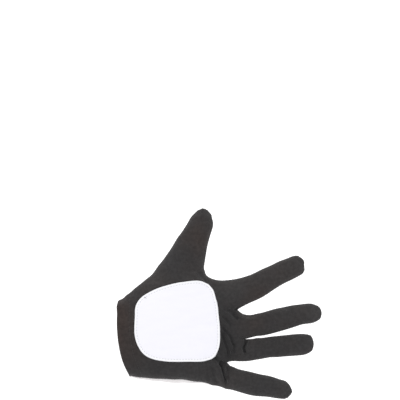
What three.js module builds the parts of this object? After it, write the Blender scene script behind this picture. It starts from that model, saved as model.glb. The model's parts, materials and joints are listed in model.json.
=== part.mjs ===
// Costume glove for the right hand, lying palm down with its digits spread and its wrist opening towards -X.
// A stretch-knit back panel and a palm panel are sewn together round the whole outline of the hand,
// and a rounded patch is sewn on the back. Lengths are in millimetres, +Z is up and the glove rests on z = 0.
import * as THREE from "three";

// Driving dimensions
const WALL = 1.2; // thickness of the knitted cloth
const SEAM_GAP = 0.3; // gap between the two panels along their seam
const PATCH_WALL = 1.0; // thickness of the patch
const PATCH_GAP = 0.55; // gap between the patch and the back panel
const SEAM_HEIGHT = 6.2; // height of the side seam above the surface that the glove lies on
const PALM_RISE = 12.4; // how far the back rises over the seam where the glove is wide
const SPREAD = 11; // how far from the seam the cloth takes to round over to its full height
const PALM_SHARE = 0.92; // how much the palm side is rounded, as a share of the back
const SETTLE = 0.8; // height over which the palm panel bends on to the surface
const MOUTH_SHARE = 0.86; // height of the wrist opening, as a share of the hand's height
const MOUTH_LENGTH = 55; // length over which the hand's height settles to that of the opening

// Sections of each digit, from its base to the centre of its tip: the middle, and half the width
const DIGITS = [
  {
    name: "thumb",
    sections: [
      { x: -30.5, y: 52, half: 17 },
      { x: -25.5, y: 64, half: 14.3 },
      { x: -20.5, y: 76, half: 12.5 },
      { x: -17.6, y: 84.4, half: 11 },
    ],
  },
  {
    name: "index",
    sections: [
      { x: 36.5, y: 17.3, half: 12.4 },
      { x: 55.6, y: 27.8, half: 10.8 },
      { x: 74.2, y: 37.3, half: 10.6 },
    ],
  },
  {
    name: "middle",
    sections: [
      { x: 38.5, y: -21.6, half: 11.4 },
      { x: 58.5, y: -16.5, half: 11.2 },
      { x: 78, y: -12, half: 10.2 },
      { x: 92.3, y: -9.7, half: 9.5 },
    ],
  },
  {
    name: "ring",
    sections: [
      { x: 37, y: -45.4, half: 10.4 },
      { x: 59.5, y: -43, half: 10.3 },
      { x: 84, y: -40.8, half: 9.9 },
    ],
  },
  {
    name: "pinky",
    sections: [
      { x: 28.7, y: -79.2, half: 11 },
      { x: 49, y: -83.2, half: 9.8 },
      { x: 62.8, y: -86, half: 9.2 },
    ],
  },
];

// Points of the outline between the digits, in the same order: the last of each row is where the next digit starts
const BETWEEN = {
  wrist: [
    { x: -101.5, y: 2.5 },
    { x: -82.5, y: 16.5 },
    { x: -66, y: 30.5 },
    { x: -56, y: 43.8 },
  ],
  thumb: [
    { x: -15.5, y: 35.5 },
    { x: -12.3, y: 28 },
    { x: -4.5, y: 23.3 },
    { x: 7, y: 22.4 },
  ],
  index: [{ x: 18.2, y: -5.8 }],
  middle: [{ x: 26.1, y: -35.4 }],
  ring: [{ x: 6.5, y: -59.1 }],
  pinky: [
    { x: 3, y: -83.4 },
    { x: -14, y: -79.6 },
    { x: -49, y: -75.5 },
    { x: -90, y: -72.5 },
  ],
};

// Points of the cuff's edge, from the thumb's side to the little finger's
const CUFF = [
  { x: -101.5, y: 2.5 },
  { x: -102.6, y: -16 },
  { x: -101, y: -36 },
  { x: -97, y: -55 },
  { x: -90, y: -72.5 },
];

// Along the heel of the hand the seam rolls on to the back, and the palm panel bulges out under it
const ROLL = { x: -46, y: -76, alongX: 36, alongY: 13, lift: 3.6, bulge: 6.5 };

// Folds of the back panel: the line that each follows, half its width and its depth, with ridges below zero
const FOLDS = [
  { x1: -9.5, y1: -54, x2: -5, y2: -80, wide: 3.2, deep: 2 },
  { x1: -16, y1: -62, x2: -13, y2: -76, wide: 3, deep: 1 },
  { x1: 25.2, y1: -38, x2: 24.6, y2: -49, wide: 2.4, deep: 1.6 },
  { x1: 5, y1: -20, x2: 14, y2: -52, wide: 3, deep: 0.9 },
  { x1: 8.5, y1: -8, x2: 20, y2: -44, wide: 3, deep: 0.7 },
  { x1: 14, y1: -3, x2: 24, y2: -30, wide: 3.4, deep: -0.5 },
];

// Corners of the patch before they are rounded, and how far along each edge the rounding starts
const PATCH_CORNERS = [
  { x: -85.2, y: 10, before: 19, after: 34 },
  { x: -3.6, y: 27.6, before: 27, after: 27 },
  { x: 1.8, y: -58.2, before: 26, after: 26 },
  { x: -85.4, y: -58.2, before: 36, after: 32 },
];

// How finely the cloth is divided
const ACROSS = 8; // across each digit
const THUMB_START = 5; // rows of the hand before the thumb
const WEB_ROWS = 4; // rows of the hand between the thumb and the first finger
const HAND_ROWS = THUMB_START + ACROSS + WEB_ROWS;
const DIGIT_STEP = 7; // length of a row along a digit
const PATCH_CELLS = 18;
const SAMPLES = 400; // samples for each measured stretch of curve
const CORNER_SAMPLES = 50; // samples for each half of a rounded corner
const SWEEPS = 600; // sweeps of the solver that fills the glove out
const LEAST_WEIGHT = 0.02; // keeps a slim triangle's edges from pushing apart in that solver
const TIP_FULLNESS = 1.03; // how far a fingertip's shoulders stand out from a half circle
const EDGE_TOLERANCE = 1e-6; // a point this share outside a triangle still counts as in it

const BLACK = 0x3a3838;
const WHITE = 0xf2eeee;
const PATCH_WHITE = 0xf8f7fc;

const point = (x, y) => new THREE.Vector3(x, y, 0);
const mix = (a, b, share) => a.clone().lerp(b, share);

// A share from 0 to 1 crowded towards both ends, as equal angles round a half circle fall on its diameter
const rounded = (share) => (1 - Math.cos(Math.PI * share)) / 2;

// The direction of a digit at one of its sections
function heading(sections, i) {
  const a = sections[Math.max(0, i - 1)];
  const b = sections[Math.min(sections.length - 1, i + 1)];
  return point(b.x - a.x, b.y - a.y).normalize();
}

// The outline from the cuff's corner at the thumb round to its corner at the little finger.
// marks says at which point of the curve each digit starts, turns over its tip and ends.
function drawOutline() {
  const points = [];
  const marks = {};
  const addAll = (list) => list.forEach(({ x, y }) => points.push(point(x, y)));
  addAll(BETWEEN.wrist);
  for (const { name, sections } of DIGITS) {
    const side = (i, angle, reach = 1) => {
      const ahead = heading(sections, i);
      const left = point(-ahead.y, ahead.x);
      const { x, y, half } = sections[i];
      return point(x, y)
        .addScaledVector(left, Math.cos(angle) * half * reach)
        .addScaledVector(ahead, Math.sin(angle) * half * reach);
    };
    const tip = sections.length - 1;
    const start = points.length - 1;
    sections.forEach((_, i) => points.push(side(i, 0)));
    points.push(side(tip, Math.PI / 4, TIP_FULLNESS));
    const tipLeft = points.length - 1;
    points.push(side(tip, Math.PI / 2));
    points.push(side(tip, (3 * Math.PI) / 4, TIP_FULLNESS));
    const tipRight = points.length - 1;
    for (let i = tip; i >= 0; i--) points.push(side(i, Math.PI));
    marks[name] = { start, tipLeft, tipRight, end: points.length };
    addAll(BETWEEN[name]);
  }
  return { curve: new THREE.CatmullRomCurve3(points, false, "centripetal"), marks };
}

// Points of a curve between two of its control points, at the given shares of the length between them
function stretch(curve, from, to, shares) {
  const last = curve.points.length - 1;
  const samples = [];
  for (let i = 0; i <= SAMPLES; i++) {
    samples.push(curve.getPoint((from + ((to - from) * i) / SAMPLES) / last));
  }
  const along = [0];
  for (let i = 1; i <= SAMPLES; i++) along.push(along[i - 1] + samples[i].distanceTo(samples[i - 1]));
  return shares.map((share) => {
    const wanted = share * along[SAMPLES];
    const i = Math.min(SAMPLES, Math.max(1, along.findIndex((a) => a >= wanted)));
    return mix(samples[i - 1], samples[i], (wanted - along[i - 1]) / (along[i] - along[i - 1]));
  });
}

const evenly = (count) => Array.from({ length: count + 1 }, (_, i) => i / count);
const crowded = (count) => evenly(count).map(rounded);
const straight = (a, b, shares) => shares.map((share) => mix(a, b, share));

// A grid of points that fills the space between four rows of points: first and last run across, left and right along
function fillBetween(first, last, left, right) {
  const across = first.length - 1;
  const rows = left.length - 1;
  return left.map((_, j) =>
    first.map((_, i) => {
      const a = i / across;
      const b = j / rows;
      const corners = mix(mix(first[0], first[across], a), mix(last[0], last[across], a), b);
      return mix(first[i], last[i], b).add(mix(left[j], right[j], a)).sub(corners);
    }),
  );
}

// A flat mesh of the whole glove, seen from above: its points, triangles and edges, with the outline's points marked
function layOut() {
  const { curve, marks } = drawOutline();
  const grids = [];
  const bases = {};
  for (const { name } of DIGITS) {
    const { start, tipLeft, tipRight, end } = marks[name];
    const base = straight(curve.points[start], curve.points[end], crowded(ACROSS));
    const reach = curve.points[start].distanceTo(curve.points[tipLeft]);
    const rows = evenly(Math.round(reach / DIGIT_STEP));
    const left = stretch(curve, start, tipLeft, rows);
    const right = stretch(curve, end, tipRight, rows);
    grids.push(fillBetween(base, stretch(curve, tipLeft, tipRight, evenly(ACROSS)), left, right));
    bases[name] = base;
  }
  const cuff = new THREE.CatmullRomCurve3(CUFF.map(({ x, y }) => point(x, y)));
  const fingers = DIGITS.slice(1).map(({ name }) => name);
  const knuckles = fingers.flatMap((name, k) => bases[name].slice(k ? 1 : 0));
  const mouth = stretch(cuff, 0, CUFF.length - 1, crowded(ACROSS * fingers.length));
  const thumbSide = [
    ...stretch(curve, 0, marks.thumb.start, evenly(THUMB_START)),
    ...bases.thumb.slice(1),
    ...stretch(curve, marks.thumb.end, marks.index.start, evenly(WEB_ROWS)).slice(1),
  ];
  const heelSide = stretch(curve, curve.points.length - 1, marks.pinky.end, evenly(HAND_ROWS));
  grids.push(fillBetween(mouth, knuckles, thumbSide, heelSide));
  return weld(grids, mouth);
}

// Joins grids of points into one mesh, with the points that they share made one
function weld(grids, mouth) {
  const points = [];
  const found = new Map();
  const key = (p) => `${Math.round(p.x * 1000)},${Math.round(p.y * 1000)}`;
  const indexOf = (p) => {
    if (!found.has(key(p))) found.set(key(p), points.push(p) - 1);
    return found.get(key(p));
  };
  const triangles = [];
  for (const grid of grids) {
    for (let j = 1; j < grid.length; j++) {
      for (let i = 1; i < grid[j].length; i++) {
        const corners = [grid[j - 1][i - 1], grid[j - 1][i], grid[j][i], grid[j][i - 1]].map(indexOf);
        triangles.push(...splitQuad(corners, points));
      }
    }
  }
  const edges = openEdges(triangles);
  const open = new Set(mouth.slice(1, -1).map(indexOf));
  const rim = new Set(edges.flat().filter((i) => !open.has(i)));
  return { points, triangles, edges, rim };
}

// Two triangles, anticlockwise from above, that share the shorter diagonal of a quad
function splitQuad([a, b, c, d], points) {
  const other = points[b].distanceTo(points[d]) < points[a].distanceTo(points[c]);
  const pair = other ? [[a, b, d], [b, c, d]] : [[a, b, c], [a, c, d]];
  return pair.map((t) => (doubleArea(t, points) < 0 ? [t[0], t[2], t[1]] : t));
}

function doubleArea([a, b, c], points) {
  const [p, q, r] = [points[a], points[b], points[c]];
  return (q.x - p.x) * (r.y - p.y) - (q.y - p.y) * (r.x - p.x);
}

// The edges that belong to one triangle only, each in the direction in which its triangle has it
function openEdges(triangles) {
  const seen = new Set(triangles.flatMap(([a, b, c]) => [`${a},${b}`, `${b},${c}`, `${c},${a}`]));
  return triangles
    .flatMap(([a, b, c]) => [[a, b], [b, c], [c, a]])
    .filter(([a, b]) => !seen.has(`${b},${a}`));
}

// How far the cloth stands from the seam's level at each point: the shape of a film that is held at the outline
// and pushed evenly, with a stiffness that keeps the wide hand from rising more than PALM_RISE
function fillOut({ points, triangles, rim }) {
  const neighbours = points.map(() => new Map());
  const areas = points.map(() => 0);
  for (const triangle of triangles) {
    for (let k = 0; k < 3; k++) {
      const [a, b, c] = [triangle[k], triangle[(k + 1) % 3], triangle[(k + 2) % 3]];
      const toA = points[a].clone().sub(points[c]);
      const toB = points[b].clone().sub(points[c]);
      const area = Math.abs(toA.x * toB.y - toA.y * toB.x) / 2;
      const weight = Math.max(LEAST_WEIGHT, toA.dot(toB) / (4 * area));
      neighbours[a].set(b, (neighbours[a].get(b) ?? 0) + weight);
      neighbours[b].set(a, (neighbours[b].get(a) ?? 0) + weight);
      areas[c] += area / 3;
    }
  }
  const film = points.map(() => 0);
  for (let sweep = 0; sweep < SWEEPS; sweep++) {
    for (let i = 0; i < points.length; i++) {
      if (rim.has(i)) continue;
      let pull = areas[i] * (PALM_RISE / SPREAD) ** 2;
      let hold = areas[i] / SPREAD ** 2;
      for (const [j, weight] of neighbours[i]) {
        pull += weight * film[j];
        hold += weight;
      }
      film[i] = pull / hold;
    }
  }
  return film.map((value, i) => Math.sqrt(value) * mouthShare(points[i].x));
}

// The hand's height towards the wrist opening, as a share of its full height
function mouthShare(x) {
  const inward = THREE.MathUtils.smoothstep(x, CUFF[1].x, CUFF[1].x + MOUTH_LENGTH);
  return MOUTH_SHARE + (1 - MOUTH_SHARE) * inward;
}

const rollAt = (x, y) => Math.exp(-(((x - ROLL.x) / ROLL.alongX) ** 2) - ((y - ROLL.y) / ROLL.alongY) ** 2);

// How far the folds push the back panel in at a point
function foldAt(x, y) {
  const here = point(x, y);
  const nearest = new THREE.Vector3();
  return FOLDS.reduce((sum, { x1, y1, x2, y2, wide, deep }) => {
    new THREE.Line3(point(x1, y1), point(x2, y2)).closestPointToPoint(here, true, nearest);
    return sum + deep * Math.exp(-((here.distanceTo(nearest) / wide) ** 2));
  }, 0);
}

// The outer face of the back panel
function backFace({ points, rim }, rise) {
  return points.map((p, i) => {
    const seam = SEAM_HEIGHT + SEAM_GAP / 2 + ROLL.lift * rollAt(p.x, p.y);
    const fold = rim.has(i) ? 0 : foldAt(p.x, p.y) * Math.min(1, rise[i] / PALM_RISE);
    return new THREE.Vector3(p.x, p.y, seam + rise[i] - fold);
  });
}

// The outer face of the palm panel, flat where the glove rests
function palmFace({ points, rim }, rise) {
  return points.map((p, i) => {
    const roll = rollAt(p.x, p.y);
    const seam = SEAM_HEIGHT - SEAM_GAP / 2 + ROLL.lift * roll * (rim.has(i) ? 1 : 0);
    const height = settle(seam - rise[i] * PALM_SHARE);
    const down = 1 - height / (SEAM_HEIGHT + ROLL.lift * roll);
    return new THREE.Vector3(p.x, p.y - ROLL.bulge * roll * 4 * down * (1 - down), height);
  });
}

// A height that bends smoothly on to zero instead of going below it
function settle(height) {
  if (height >= SETTLE) return height;
  return height <= -SETTLE ? 0 : (height + SETTLE) ** 2 / (4 * SETTLE);
}

// The directions in which each point of a face looks, and at the seam those level directions that leave the outline
function normalsOf(face, triangles, edges, rim) {
  const normals = face.map(() => new THREE.Vector3());
  for (const [a, b, c] of triangles) {
    const normal = face[b].clone().sub(face[a]).cross(face[c].clone().sub(face[a]));
    [a, b, c].forEach((i) => normals[i].add(normal));
  }
  const level = new Map();
  for (const [a, b] of edges) {
    if (!rim.has(a) || !rim.has(b)) continue;
    const along = face[b].clone().sub(face[a]);
    const out = point(along.y, -along.x).normalize();
    for (const i of [a, b]) level.set(i, (level.get(i) ?? point(0, 0)).add(out));
  }
  level.forEach((out, i) => normals[i].copy(out));
  return normals.map((normal) => normal.normalize());
}

// A closed wall between an outer face and its inner copy. Triangles are anticlockwise seen from outside.
function wall(outer, inner, triangles) {
  const count = outer.length;
  const faces = triangles.flatMap(([a, b, c]) => [[a, b, c], [a + count, c + count, b + count]]);
  for (const [a, b] of openEdges(triangles)) {
    faces.push([b, a, a + count], [b, a + count, b + count]);
  }
  const geometry = new THREE.BufferGeometry().setFromPoints([...outer, ...inner]);
  geometry.setIndex(faces.flat());
  geometry.computeVertexNormals();
  return geometry;
}

const moved = (face, normals, distance) => face.map((p, i) => p.clone().addScaledVector(normals[i], distance));
const turned = (triangles) => triangles.map(([a, b, c]) => [a, c, b]);

function namedMesh(name, geometry, color, roughness) {
  const material = new THREE.MeshStandardMaterial({ color, roughness, metalness: 0 });
  const mesh = new THREE.Mesh(geometry, material);
  mesh.name = name;
  return mesh;
}

// A corner of the patch as a curve that starts and ends on its two edges
function patchCorner(k) {
  const at = (i) => {
    const corner = PATCH_CORNERS[(i + PATCH_CORNERS.length) % PATCH_CORNERS.length];
    return point(corner.x, corner.y);
  };
  const towards = (from, to, distance) => mix(from, to, distance / from.distanceTo(to));
  const start = towards(at(k), at(k - 1), PATCH_CORNERS[k].before);
  const end = towards(at(k), at(k + 1), PATCH_CORNERS[k].after);
  return new THREE.QuadraticBezierCurve3(start, at(k), end);
}

// The patch's flat mesh, filled between four sides that meet in the middles of the rounded corners
function layOutPatch() {
  const corners = PATCH_CORNERS.map((_, k) => patchCorner(k));
  const sides = corners.map((corner, k) => {
    const next = corners[(k + 1) % corners.length];
    const half = evenly(CORNER_SAMPLES).map((share) => share / 2);
    const points = [
      ...half.map((share) => corner.getPoint(0.5 + share)),
      ...half.map((share) => next.getPoint(share)),
    ];
    return stretch(new THREE.CatmullRomCurve3(points), 0, points.length - 1, evenly(PATCH_CELLS));
  });
  const [top, right, bottom, left] = sides;
  const grid = fillBetween(top, [...bottom].reverse(), [...left].reverse(), right);
  return weld([grid], []);
}

// The place and direction on a face right above a flat point
function liftOn(p, face, normals, { points, triangles }) {
  for (const [a, b, c] of triangles) {
    const share = THREE.Triangle.getBarycoord(p, points[a], points[b], points[c], new THREE.Vector3());
    if (!share || Math.min(share.x, share.y, share.z) < -EDGE_TOLERANCE) continue;
    const blend = (list) => {
      const sum = list[a].clone().multiplyScalar(share.x).addScaledVector(list[b], share.y);
      return sum.addScaledVector(list[c], share.z);
    };
    return { place: blend(face), normal: blend(normals).normalize() };
  }
  throw new Error("a point of the patch lies off the glove");
}

const sheet = layOut();
const rise = fillOut(sheet);
const downward = turned(sheet.triangles);
const back = backFace(sheet, rise);
const backNormals = normalsOf(back, sheet.triangles, sheet.edges, sheet.rim);
const palm = palmFace(sheet, rise);
const palmNormals = normalsOf(palm, downward, sheet.edges, sheet.rim);

const patchSheet = layOutPatch();
const lifted = patchSheet.points.map((p) => liftOn(p, back, backNormals, sheet));
const patchUnder = lifted.map(({ place, normal }) => place.clone().addScaledVector(normal, PATCH_GAP));
const patchTop = lifted.map(({ place, normal }) =>
  place.clone().addScaledVector(normal, PATCH_GAP + PATCH_WALL),
);

const meshes = [
  namedMesh("back_panel", wall(back, moved(back, backNormals, -WALL), sheet.triangles), BLACK, 0.9),
  namedMesh("palm_panel", wall(palm, moved(palm, palmNormals, -WALL), downward), WHITE, 0.85),
  namedMesh("hand_patch", wall(patchTop, patchUnder, patchSheet.triangles), PATCH_WHITE, 0.6),
];

// The origin is under the middle of the glove's box
const glove = new THREE.Group();
glove.name = "costume_glove";
glove.add(...meshes);
const middle = new THREE.Box3().setFromObject(glove, true).getCenter(new THREE.Vector3());
glove.position.set(-middle.x, -middle.y, 0);

export default glove;
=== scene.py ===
# Costume glove for the right hand, lying palm down: a black knitted back, a white knitted palm and a plain
# white patch sewn on the back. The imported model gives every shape, and this script makes the cloth from it.
# Lengths are in millimetres up to the last step, where each mesh is made in metres.
import json
import math
from types import SimpleNamespace

import bmesh
import bpy
import numpy as np
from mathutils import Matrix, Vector, noise
from mathutils.bvhtree import BVHTree
from mathutils.kdtree import KDTree

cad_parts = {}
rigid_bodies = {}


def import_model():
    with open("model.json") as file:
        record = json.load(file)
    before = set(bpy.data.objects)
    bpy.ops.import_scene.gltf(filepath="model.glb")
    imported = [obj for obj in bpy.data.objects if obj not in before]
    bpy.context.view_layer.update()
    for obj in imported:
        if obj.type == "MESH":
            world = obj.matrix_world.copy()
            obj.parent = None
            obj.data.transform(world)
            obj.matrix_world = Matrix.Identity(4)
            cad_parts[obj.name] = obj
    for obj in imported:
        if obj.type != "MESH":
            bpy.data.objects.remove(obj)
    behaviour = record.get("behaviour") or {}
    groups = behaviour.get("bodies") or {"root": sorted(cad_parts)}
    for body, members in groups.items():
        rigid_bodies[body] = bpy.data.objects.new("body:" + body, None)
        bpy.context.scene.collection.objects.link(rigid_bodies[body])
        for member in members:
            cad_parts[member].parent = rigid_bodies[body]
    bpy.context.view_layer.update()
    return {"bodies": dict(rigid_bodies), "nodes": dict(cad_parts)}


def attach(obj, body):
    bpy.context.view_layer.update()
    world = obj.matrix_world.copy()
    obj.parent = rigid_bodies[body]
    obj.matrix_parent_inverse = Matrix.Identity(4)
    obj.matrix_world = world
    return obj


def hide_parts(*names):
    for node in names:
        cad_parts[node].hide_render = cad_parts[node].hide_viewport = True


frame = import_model()
BODY = next(iter(frame["bodies"]))
MM = 0.001


def table(columns, *rows):
    """Rows of values under the names of their columns."""
    return [dict(zip(columns.split(), row)) for row in rows]


# Hem at the wrist. Here and below, a pair of numbers is a range over which something grows or fades
HEM_THICK = 1.6
HEM_WIDTH = 13.5
HEM_RAISED = 0.22  # how far the hem's second layer lifts the outer face
HEM_RAISED_END = (HEM_WIDTH - 1.2, HEM_WIDTH + 0.6)
HEM_THICK_END = (HEM_WIDTH - 2, HEM_WIDTH)
HEM_FULL = 0.98  # how fully its fold is rounded
HEM_LEAST = 0.12  # thickness right at the fold
HEM_STITCH = 12.3  # distance of its stitches from the cuff
HEM_GROOVE = 0.2  # how far they draw it in
HEM_GROOVE_WIDTH = 0.55
HEM_THREAD = 0.25  # room under the palm for them
HEM_THREAD_REACH = 2.5
CUFF_WAVE = 0.8  # how far the back rises and falls at the cuff
CUFF_WAVE_LONG = 23.0
CUFF_WAVE_START = 0.6  # radians
CUFF_WAVE_REACH = 15
CUFF_WAVE_FREE = (1, 14)

# Cloth and its side seam
CLOTH_THICK = 1.0
CLOTH_FREE = (0, 5)  # ripples and wrinkles grow over this range from the seam, and creases over the next
CREASE_FREE = (-0.6, 2)
LEVEL_END = (-0.4, 1.6)  # the normals are level at the seam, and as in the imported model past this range
SEAM_EASE = 0.8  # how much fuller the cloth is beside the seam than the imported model
SEAM_EASE_REACH = 6.0
NARROW_CROTCHES = table("x y reach", (35, -34.5, 10), (9, -59.5, 5))  # with less of it
SEAM_DIP = 0.5  # how far the seam itself is drawn in
SEAM_DIP_WIDTH = 0.9
SEAM_CLOSED = 0.1  # how far each panel comes towards the other at the seam
SEAM_CLOSED_REACH = 0.9
PUCKER_PITCH = 3.2
PUCKER_DEEP = 0.13
PUCKER_AWAY = 0.9  # distance of the puckers from the seam
PUCKER_REACH = 2.2
PUCKER_BEAT = 31  # their depth comes and goes over this length
PUCKER_SWING = 0.4
LYING_HIGH = (0.02, 1.2)  # heights between which the palm goes from lying on the surface to free
LYING_LIFT = 0.1  # how far it rises at most where it lies
LIFT = 0.03  # keeps the cloth just clear of the surface

# Stitches of the side seam, and the edges of the cloth inside it with the thread wound round them
SEAM_PITCH = 1.7
SEAM_THREAD = 0.08
SEAM_BITE = 0.38  # how far the stitches reach up and down
SEAM_SLANT = 0.22
SEAM_STITCH = table("height out", (1, -2.5), (0.9, 0), (0, 1), (-0.9, 0), (-1, -2.5))  # in bites and radii
SEAM_MIDDLE = 0.05  # how far the seam's middle lies below the back's rim
EDGE_END = 3.6  # how far in the edges reach from the seam, and how far in they start
EDGE_START = 0.7
EDGE_APART = 0.06  # half the gap between them
EDGE_THICK = 0.7
EDGE_STEP = 1.1
EDGE_WAVES = table("long high", (9.3, 0.22), (5.1, 0.132))
OVERLOCK_PITCH = 2.0
OVERLOCK_THREAD = 0.14
OVERLOCK_REACH = 1.4  # how near the seam it comes
OVERLOCK_PROUD = 0.8  # height of its middle line over the edges, in radii
OVERLOCK_SIDES = 5
OVERLOCK_TURNS = table(
    "reach side shift", ("near", 1, 0), ("far", 1, 0.3), ("far", -1, 0.5), ("near", -1, 0.8)
)

# Patch
PATCH_THICK = 0.95
PATCH_OFF = 0.12  # gap between the patch and the cloth under it
PATCH_ROUND = 0.9  # radius of its folded edge
PATCH_FOLD = 0.55  # share of its thickness by which its top falls at the edge, and then its underside rises
PATCH_FOLD_UNDER = 0.25
PATCH_STITCH = 2.4  # distance of its stitches from its edge
PATCH_GROOVE = 0.3
PATCH_GROOVE_WIDTH = 0.55
PATCH_PUFF = 0.16  # how much fuller it is outside them
PATCH_PUFF_START, PATCH_PUFF_END = (0, 1), (1.2, PATCH_STITCH)
PATCH_PUCKER_PITCH = 6.5  # the cloth under its edge is drawn in a little at each of these
PATCH_PUCKER_DEEP = 0.17
PATCH_PUCKER_BEAT = 47
PATCH_PUCKER_REACH = 4.5
PATCH_PUCKER_FREE = (2, 8)

# Running stitches, and the loose end of the patch's thread
HEM_RUN = {"pitch": 2.6, "length": 1.9, "radius": 0.14}
PATCH_RUN = {"pitch": 2.9, "length": 2.1, "radius": 0.17}
STITCH_STEPS = 6
STITCH_PROUD = 0.75  # height of a stitch's middle line over the cloth, in radii
STITCH_SUNK = 0.1  # how far its ends are buried
THREAD_TAPER = 0.55  # share of its radius left at its ends
HEM_TURN, PATCH_TURN = 9.0, 2.5  # lengths over which a line of stitches has its direction taken
LOOSE_END = {
    "at": (-75.2, 5.6), "long": 2.6, "bend": 0.7, "curl": 1.6, "radius": 0.17, "rise": 0.25, "sunk": 0.3
}
LOOSE_END_OFF = 0.12  # height of its middle line over the patch
LOOSE_END_STEPS = 9

# Meshes
FINE = 3  # times that the outer face is subdivided, and the inner face once less
SHARP_FOLD = math.radians(55)  # the CAD panels turn more than this only round their edges
RIM_CORNER = math.radians(62)  # the rim keeps its corner where it turns more than this
CREASE_SPLITS = 2  # times that an edge over CREASE_EDGE is halved where it falls CREASE_STEP into a crease
CREASE_EDGE = 0.3
CREASE_STEP = 0.22
# The triangles that replace one with none, one, two or three of its edges halved. Its corners are 0 to 2 and
# its edges' middles 3 to 5. It is turned so that the edge which alone is halved, or alone isn't, comes first
CUTS = (
    [(0, 1, 2)],
    [(0, 3, 2), (3, 1, 2)],
    [(2, 5, 4), (0, 1, 4), (0, 4, 5)],
    [(0, 3, 5), (3, 1, 4), (5, 4, 2), (3, 4, 5)],
)
WELD = 2e-6  # metres
FLATTEN_SWEEPS = 500
FLATTEN_EASE = 1.5
LEAST = 1e-9  # keeps divisions away from zero

# Creases of the back, seen from above: the points that each follows, half its width, its depth, the height of
# the ridges beside it and how much shade is painted into the cloth in it
CREASES = table(
    "path wide deep ridge dark",
    ([(2.8, -57), (3.2, -61.6), (4, -66.4), (4.6, -70.4), (5.4, -75.6), (8, -82)], 1.65, 5, 0.5, 0.6),
    ([(-6, -52.6), (-2, -56), (1, -59), (3, -64)], 2.7, 2.6, 0, 0.7),
    ([(6.6, -59.5), (8.6, -65), (9.2, -71), (8.4, -79)], 2.3, 3.2, 0.4, 0.3),
    ([(-7.8, -60), (-6.4, -68), (-4.6, -74), (-0.6, -82)], 2, 1.3, 0.35, 0.2),
    ([(-12.6, -62), (-11.4, -72), (-9.2, -80)], 2, 1, 0.3, 0.2),
    ([(-18.6, -65), (-16.6, -79)], 2, 0.7, 0.2, 0.1),
    ([(27.4, -34.6), (27, -38), (26.1, -41.3), (24.9, -44.6), (25.4, -47.6), (27, -51.5)],
     1.8, 4.2, 0.8, 0.5),
    ([(1.5, -20.5), (3.6, -24), (7, -27.8), (10.2, -31.8), (12, -35.6), (13.2, -39.4), (14, -44)],
     1.9, 2.6, 0.4, 0.6),
    ([(14.6, -38.5), (14.8, -50.5)], 1.7, 1.9, 0.3, 0.8),
    ([(2.2, -26), (3.8, -31), (5.3, -36.8), (7.3, -41.8), (9.3, -47.8), (9.6, -55)], 2.3, 3, 0.8, 0.7),
    ([(8, -5), (14.2, -10.6), (21.2, -17.2)], 2.6, 1.7, 0.1, 0.6),
    ([(2, -11), (8.2, -17), (13, -23)], 1.9, 1.2, 0.4, 0.3),
    ([(3, -4), (9, -9)], 1.6, 0.8, 0.3, 0.1),
    ([(19.6, -3), (16, -7), (13.8, -13.6)], 1.4, 0.8, 0.2, 0.1),
    ([(-20.5, 34), (-16.2, 26.8), (-10, 20.6)], 1.9, 0.9, 0.3, 0.1),
    ([(-25, 36), (-21, 29), (-17, 25.5)], 2, 0.6, 0.2, 0),
)
CREASE_STEEP = 2.6  # a crease's walls are steeper the larger this is
CREASE_FADE = 0.2  # share of its path over which it ends
RIDGE_AWAY, RIDGE_WIDE = 2.3, 1.2  # place and width of its ridges, times its own width
RIGHT_RIDGE = 0.6  # height of the ridge on its right against the one on its left

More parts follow.
